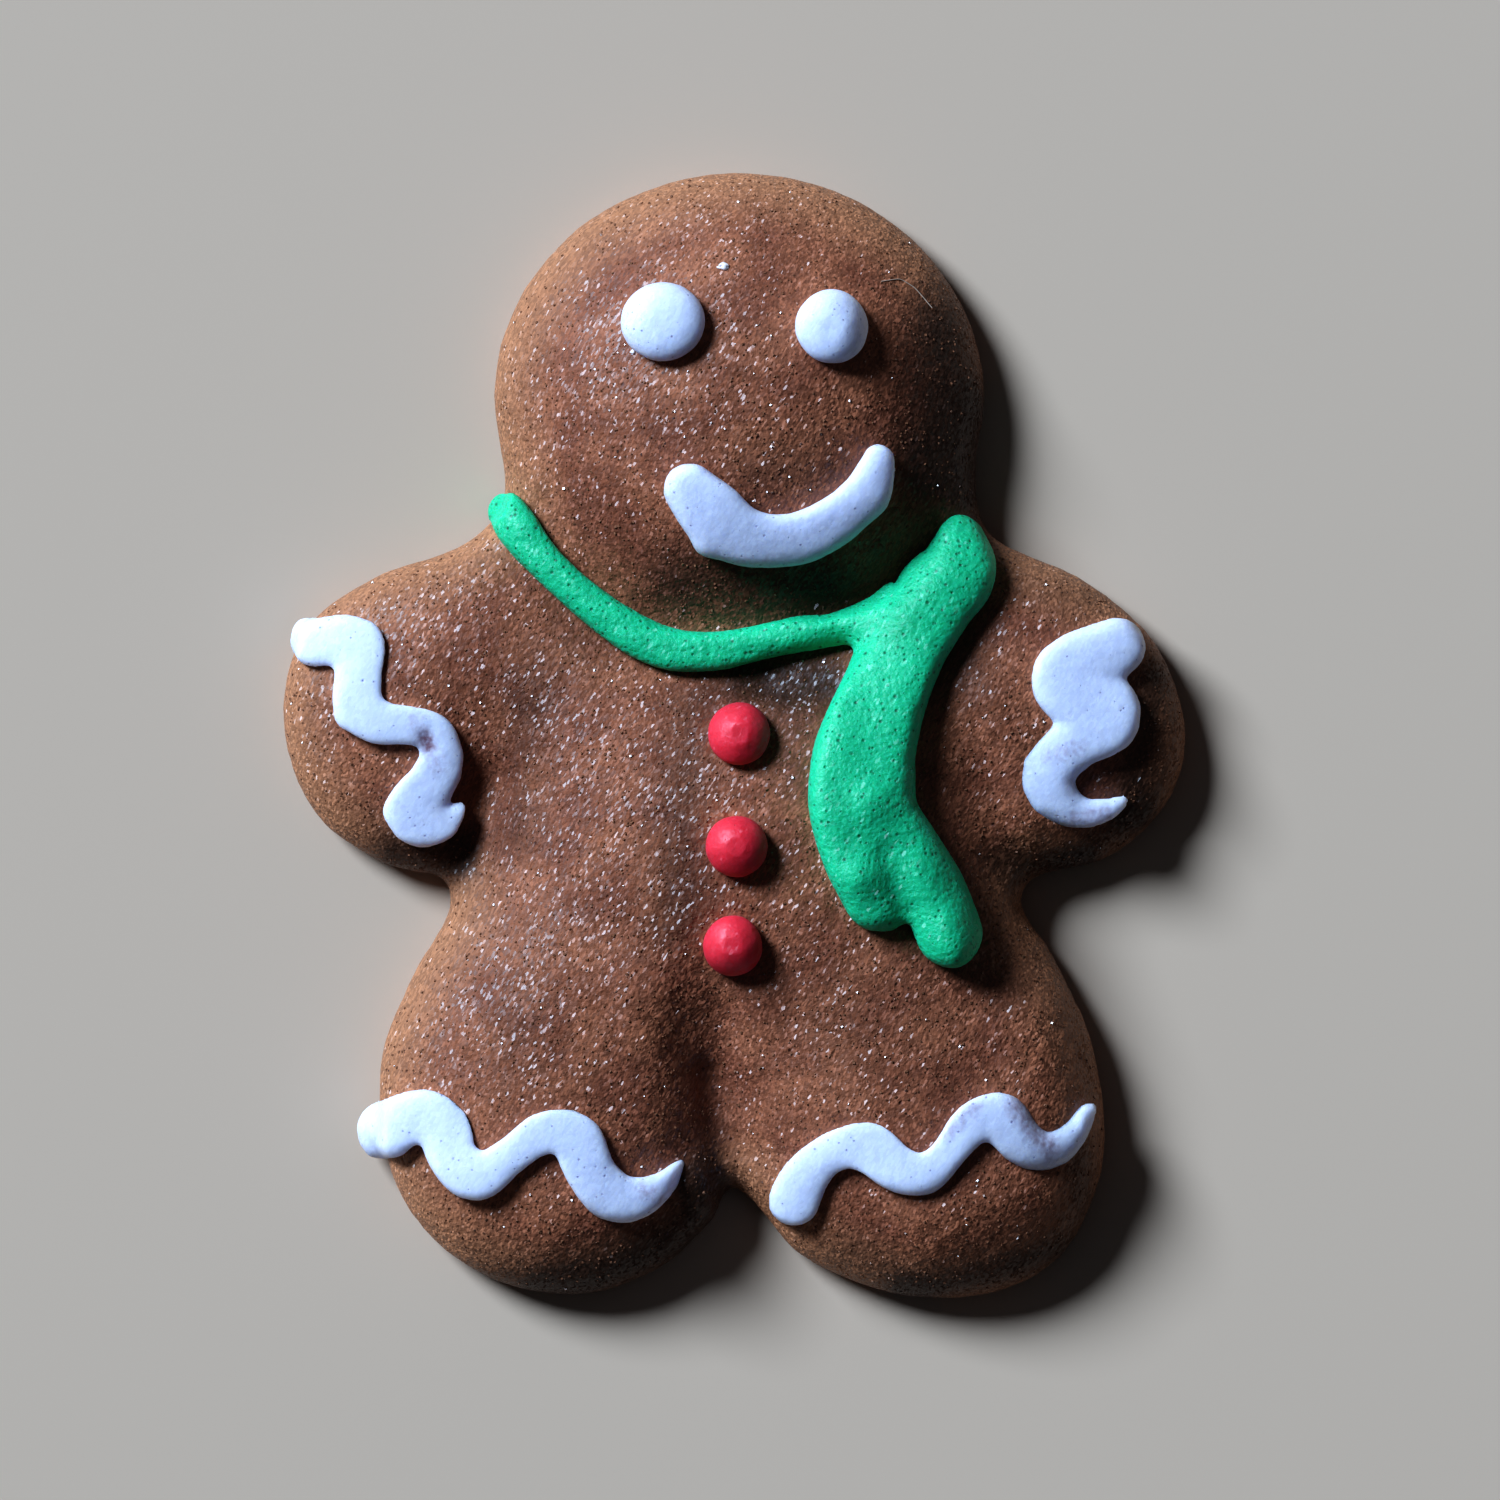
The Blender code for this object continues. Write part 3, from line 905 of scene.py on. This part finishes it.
@dataclass
class SugarGrains:
    """Fine sugar crystals set in the bare crust, joined to one mesh."""

    crust: BVHTree
    icing: BVHTree
    count: int = 7000
    smallest: float = 0.018  # half of a side
    largest: float = 0.042
    uneven: tuple[float, float] = (0.7, 1.3)  # times the size, for each side of a grain
    field_half: tuple[float, float] = (18.5, 23.0)  # half the sides of the field they fall on
    steepest: float = 0.35  # a normal's Z below which none stay on the crust
    gap: float = 0.15  # width of the crust without grains round the icing
    seed: int = 7

    def build(self) -> bpy.types.Object:
        """Builds the piece.

        Returns:
            The grains' object.
        """
        rng = np.random.default_rng(self.seed)
        block = np.array([[x, y, z] for x in (-1, 1) for y in (-1, 1) for z in (-1, 1)])
        sides = ((0, 1, 3, 2), (4, 6, 7, 5), (0, 4, 5, 1), (2, 3, 7, 6), (0, 2, 6, 4), (1, 5, 7, 3))
        points: list[list[float]] = []
        faces: list[list[int]] = []
        while len(faces) < len(sides) * self.count:
            x, y = (rng.uniform(-half, half) for half in self.field_half)
            spot, normal = top_of(self.crust, x, y)
            if spot is None or normal.z < self.steepest:
                continue
            if self.icing.find_nearest(spot, self.gap)[0]:
                continue
            turn, _ = np.linalg.qr(rng.normal(size=(3, 3)))
            turn *= np.sign(np.linalg.det(turn))
            size = rng.uniform(self.smallest, self.largest) * rng.uniform(*self.uneven, 3)
            first = len(points)
            points += ((block * size) @ turn.T + np.array(spot)).tolist()
            faces += [[first + i for i in side] for side in sides]
        mesh = bpy.data.meshes.new("sugar_grains")
        mesh.from_pydata([Vector(p) * MM for p in points], [], faces)
        piece = add_piece("sugar_grains", mesh, SugarCrystal())
        mesh.shade_flat()
        return piece


@dataclass
class Speck:
    """A crumb of dried icing, stuck to the crust."""

    crust: BVHTree
    name: str
    place: tuple[float, float]
    size: tuple[float, float, float]
    lumps: Relief = Relief(0.45, 0.12)  # on a ball that is 1 across
    lumpiness: float = 6.0

    def build(self) -> bpy.types.Object:
        """Builds the piece.

        Returns:
            The speck's object.
        """
        shape = bmesh.new()
        bmesh.ops.create_icosphere(shape, subdivisions=4, radius=0.5)
        mesh = bpy.data.meshes.new(self.name)
        shape.to_mesh(mesh)
        shape.free()
        ball = points_of(mesh) * MM
        ball *= 1 + self.lumpiness * self.lumps.at(ball)[:, None]
        spot, _ = top_of(self.crust, *self.place)
        set_points(mesh, ball * np.array(self.size) + np.array(spot))
        finish = replace(Icing.WHITE.finish, name="dried icing crumb", colour="e6dcdc", depth=0.05)
        return add_piece(self.name, mesh, finish)


@dataclass
class Fibre:
    """A fine fibre that lies on the crust along a curve."""

    crust: BVHTree
    path: tuple[tuple[float, float], ...]
    radius: float = 0.022
    steps: int = 48
    sides: int = 8
    softening: int = 12  # rounds that round off the curve's corners
    span: int = 7  # steps that it bridges the crust's relief over

    def build(self) -> bpy.types.Object:
        """Builds the piece.

        Returns:
            The fibre's object.
        """
        knots = np.array(self.path)
        share = np.linspace(0, len(knots) - 1, self.steps)
        bent = [np.interp(share, range(len(knots)), knots[:, axis]) for axis in (0, 1)]
        line = np.array(bent).T
        for _ in range(self.softening):
            line[1:-1] = (line[:-2] + 2 * line[1:-1] + line[2:]) / 4
        heights = [top_of(self.crust, *spot)[0].z + self.radius for spot in line]
        padded = np.pad(heights, self.span // 2, "edge")
        heights = np.convolve(padded, np.ones(self.span) / self.span, "valid")
        centres = np.column_stack([line, heights])
        points: list[Vector] = []
        for i, centre in enumerate(centres):
            along = Vector(centres[min(i + 1, self.steps - 1)] - centres[max(i - 1, 0)])
            turn = along.to_track_quat("Z", "X").to_matrix()
            for side in range(self.sides):
                angle = math.tau * side / self.sides
                round_it = Vector((math.cos(angle), math.sin(angle), 0.0)) * self.radius
                points.append((Vector(centre) + turn @ round_it) * MM)
        faces = [
            [row + side, row + (side + 1) % self.sides]
            + [row + self.sides + (side + 1) % self.sides, row + self.sides + side]
            for row in range(0, (self.steps - 1) * self.sides, self.sides)
            for side in range(self.sides)
        ]
        mesh = bpy.data.meshes.new("fibre")
        mesh.from_pydata(points, [], faces)
        return add_piece("fibre", mesh, PaleFibre())


# The studio


@dataclass
class Studio:
    """A plain pale ground, one large soft lamp from the upper left and a weak fill."""

    ground_half: float = 600.0
    lamp_azimuth: float = 140.0  # degrees from +X towards +Y
    lamp_height: float = 36.0  # degrees above the ground
    lamp_distance: float = 3000.0
    lamp_width: float = 1200.0
    lamp_power: float = 141.0  # watts
    lamp_colour: str = "cbe4ff"
    fill_colour: str = "d8e7ff"
    fill: float = 0.052
    view_width: float = 60.0
    view_level: float = 2.5  # height of the plane that view_width is measured in
    view_middle: tuple[float, float] = (0.64, -0.64)
    lens: float = 700.0

    def build(self) -> None:
        """Builds the ground, the lights and the camera."""
        self.make_ground()
        self.make_lights()
        self.make_camera()

    def make_ground(self) -> None:
        """Makes the ground."""
        mesh = bpy.data.meshes.new("ground")
        shape = bmesh.new()
        bmesh.ops.create_grid(shape, x_segments=1, y_segments=1, size=self.ground_half * MM)
        shape.to_mesh(mesh)
        shape.free()
        mesh.materials.append(PalePaper().make())
        ground = bpy.data.objects.new("ground", mesh)
        bpy.context.scene.collection.objects.link(ground)

    def make_lights(self) -> None:
        """Makes the lamp and the fill."""
        lamp = bpy.data.lights.new("window lamp", "AREA")
        lamp.shape = "DISK"
        lamp.size = self.lamp_width * MM
        lamp.energy = self.lamp_power
        lamp.color = linear(self.lamp_colour)[:3]
        azimuth, height = math.radians(self.lamp_azimuth), math.radians(self.lamp_height)
        towards = Vector(
            (
                math.cos(azimuth) * math.cos(height),
                math.sin(azimuth) * math.cos(height),
                math.sin(height),
            )
        )
        obj = bpy.data.objects.new("window lamp", lamp)
        obj.location = towards * self.lamp_distance * MM
        obj.rotation_euler = towards.to_track_quat("Z", "Y").to_euler()
        bpy.context.scene.collection.objects.link(obj)
        world = bpy.data.worlds.new("room")
        world.use_nodes = True
        background = world.node_tree.nodes["Background"]
        background.inputs["Color"].default_value = linear(self.fill_colour)
        background.inputs["Strength"].default_value = self.fill
        bpy.context.scene.world = world

    def make_camera(self) -> None:
        """Makes the camera, which looks straight down on the face."""
        camera = bpy.data.cameras.new("camera")
        camera.lens = self.lens
        distance = self.view_width * self.lens / camera.sensor_width
        obj = bpy.data.objects.new("camera", camera)
        obj.location = Vector((*self.view_middle, self.view_level + distance)) * MM
        bpy.context.scene.collection.objects.link(obj)
        bpy.context.scene.camera = obj


# What lies where on the biscuit


PIPING = (
    PipedIcing(
        "eye_left",
        Icing.WHITE,
        levelling=0.3,
        height=1.1,
        run=3.0,
        bulges=(Dab((-2.8, 16.4), (-2.8, 16.4), 5.0, 0.08),),
    ),
    PipedIcing(
        "eye_right",
        Icing.WHITE,
        levelling=0.2,
        height=1.1,
        run=3.0,
        bulges=(Dab((3.9, 16.2), (3.9, 16.2), 5.0, 0.04),),
    ),
    PipedIcing(
        "smile",
        Icing.WHITE,
        levelling=1.2,
        height=0.9,
        run=2.0,
        bulges=(
            Dab((-1.3, 7.3), (-1.3, 7.3), 0.6, 0.25),
            Dab((-2.8, 9.4), (-2.8, 9.4), 1.0, 0.1),
            Dab((0.2, 9.9), (0.2, 9.9), 0.8, 0.15),
            Dab((6.1, 10.8), (6.0, 9.2), 0.7, 0.2),
        ),
    ),
    PipedIcing(
        "scarf",
        Icing.GREEN,
        rounds=10,
        bed=0.7,
        levelling=0.8,
        run=3.0,
        soft_spots=(
            Dab((6.4, -1.6), (7.3, -6.6), 1.3, 1.6),
            Dab((4.0, 4.2), (6.6, 5.6), 1.0, 1.0),
            Dab((8.6, 6.8), (9.2, 8.0), 0.8, 0.7),
        ),
        pushes=(
            Dab((5.6, 3.0), (5.2, -6.5), 1.8, -0.2),
            Dab((6.8, 4.8), (8.4, 6.6), 1.0, 0.3),
            Dab((5.4, -2.7), (5.4, -2.7), 0.9, 0.3),
            Dab((5.0, -5.8), (5.0, -5.8), 0.8, 0.3),
            Dab((8.5, -7.6), (9.0, -9.2), 0.8, 0.3),
            Dab((7.4, -3.6), (7.8, -6.2), 0.8, 0.2),
            Dab((6.2, -4.8), (6.9, -7.0), 0.55, -0.2),
        ),
        bulges=(
            Dab((6.3, 5.9), (7.5, 7.1), 0.55, 0.5),
            Dab((8.1, 8.2), (8.4, 8.4), 0.5, -0.15),
            Dab((3.8, 4.9), (5.9, 5.9), 0.8, -0.32),
        ),
        # Painted shade and mottle on the knot and at the tail's end.
        thin_and_shaded_spots=(
            Dab((6.4, 4.2), (8.4, 7.0), 1.1, 0.42),
            Dab((6.7, -5.4), (6.7, -5.4), 0.9, 0.3),
        ),
    ),
    *(
        PipedIcing(f"button_{place}", Icing.RED, levelling=-0.1, height=1.15, run=3.0)
        for place in ("top", "middle", "bottom")
    ),
    PipedIcing(
        "arm_trim_left",
        Icing.WHITE,
        levelling=1.6,
        height=0.65,
        run=3.0,
        pushes=(Dab((-12.3, -0.2), (-12.2, -0.5), 0.35, -0.15),),
        bulges=(
            Dab((-14.2, 4.3), (-14.2, 4.3), 0.5, 0.08),
            Dab((-17.4, 4.5), (-17.4, 4.5), 0.6, 0.2),
            Dab((-11.0, -1.0), (-11.4, -2.6), 0.6, 0.15),
            Dab((-16.0, 0.3), (-16.0, 0.3), 0.5, 0.2),
            Dab((-14.0, -3.1), (-14.0, -3.1), 0.5, 0.15),
        ),
        thin_and_shaded_spots=(
            Dab((-12.3, -0.2), (-12.2, -0.5), 0.25, 0.7),
            Dab((-12.7, 0.5), (-11.9, -1.2), 0.7, 0.35),
        ),
    ),
    PipedIcing(
        "arm_trim_right",
        Icing.WHITE,
        levelling=1.0,
        height=0.65,
        run=3.0,
        bulges=(Dab((11.7, -1.2), (12.0, -2.8), 0.6, 0.3),),
        thin_and_shaded_spots=(
            Dab((13.8, -0.5), (12.6, -0.9), 0.6, 0.35),
            Dab((13.6, -3.4), (14.8, -3.2), 0.5, 0.45),
        ),
    ),
    PipedIcing(
        "leg_trim_left",
        Icing.WHITE,
        levelling=1.6,
        height=0.7,
        run=4.0,
        bulges=(Dab((-14.4, -16.6), (-13.4, -16.6), 0.5, 0.22),),
        thin_and_shaded_spots=(Dab((-3.6, -18.2), (-3.0, -18.6), 0.5, 0.4),),
    ),
    PipedIcing(
        "leg_trim_right",
        Icing.WHITE,
        levelling=1.6,
        height=0.65,
        run=3.0,
        thin_and_shaded_spots=(
            Dab((8.6, -15.9), (9.6, -14.9), 0.6, 0.35),
            Dab((11.3, -14.9), (12.6, -16.6), 0.6, 0.55),
        ),
    ),
)

SPECKS = (
    ("speck_brow", (-0.44, 18.64), (0.46, 0.34, 0.24)),
    ("speck_eye", (-4.04, 15.24), (0.22, 0.2, 0.16)),
    ("speck_smile", (6.32, 10.56), (0.24, 0.2, 0.16)),
)

FIBRE_PATH = ((5.88, 18.08), (6.64, 18.2), (7.24, 17.84), (7.92, 17.04))


def report(piece: bpy.types.Object) -> bpy.types.Object:
    """Logs a piece's name and how many faces it has, and hands it on."""
    log.info("%s: %d faces", piece.name, len(piece.data.polygons))
    return piece


def main() -> None:
    """Builds every piece, the studio and the camera."""
    logging.basicConfig(level=logging.INFO, format="%(message)s")
    bpy.context.scene.view_settings.view_transform = "Standard"
    bpy.context.scene.view_settings.look = "High Contrast"
    crust = search_tree([report(Biscuit().build())])
    icing = search_tree([report(piping.build(crust)) for piping in PIPING])
    report(SugarGrains(crust, icing).build())
    for speck in SPECKS:
        report(Speck(crust, *speck).build())
    report(Fibre(crust, FIBRE_PATH).build())
    Studio().build()


if __name__ == "__main__":
    main()
